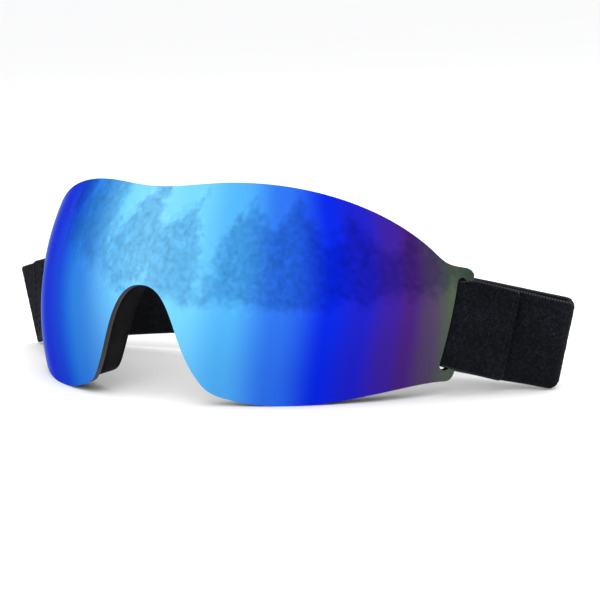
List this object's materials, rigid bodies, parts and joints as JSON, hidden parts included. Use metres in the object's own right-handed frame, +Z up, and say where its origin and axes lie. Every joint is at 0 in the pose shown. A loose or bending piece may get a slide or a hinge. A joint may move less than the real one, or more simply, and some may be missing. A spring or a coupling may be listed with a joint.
{
  "type": "ski goggles",
  "caption": "Frameless wrap ski goggles: one-piece spherical mirror lens with a nose arch, foam face seal and an elastic head strap through a slot at each end.",
  "frame": {"origin": "bottom centre of the bounding box, as the goggles stand on a table on the lens's two cheek lobes and the strap's rear folds", "axes": "+X towards the wearer's left, +Y towards the back of the head (the lens faces -Y), +Z up"},
  "size_m": [0.2344, 0.083, 0.0692],
  "materials": {
    "mirror_lens": "blue multi-layer mirror coating on a moulded polycarbonate lens, polished edge",
    "adhesive": "thin black double-sided adhesive film",
    "foam": "black closed-cell foam, die cut",
    "lining_fleece": "thin brushed black fleece",
    "strap_pile": "black elastic faced with brushed loop pile",
    "hook_tape": "black moulded hook tape",
    "thread": "black polyester sewing thread"
  },
  "bodies": {
    "goggle": {"lens": "mirror_lens", "foam_tape": "adhesive", "foam_gasket": "foam", "face_lining": "lining_fleece"},
    "strap": {"strap": "strap_pile"},
    "strap_end_left": {"strap_end_left": "strap_pile", "hook_patch_left": "hook_tape", "hook_stitching_left": "thread"},
    "strap_end_right": {"strap_end_right": "strap_pile", "hook_patch_right": "hook_tape", "hook_stitching_right": "thread"}
  },
  "joints": [
    {"name": "strap_tilt", "type": "hinge", "parent": "goggle", "child": "strap", "pos_m": [0, 0.01397, 0.02122], "axis": [1, 0, 0], "range_deg": [-1.5, 1.5]},
    {"name": "peel_left", "type": "hinge", "parent": "strap", "child": "strap_end_left", "pos_m": [0.08755, 0.01028, 0.02223], "axis": [-0.0861, -0.3104, -0.9467], "range_deg": [0, 150]},
    {"name": "peel_right", "type": "hinge", "parent": "strap", "child": "strap_end_right", "pos_m": [-0.08755, 0.01028, 0.02223], "axis": [-0.0861, 0.3104, 0.9467], "range_deg": [0, 150]}
  ]
}
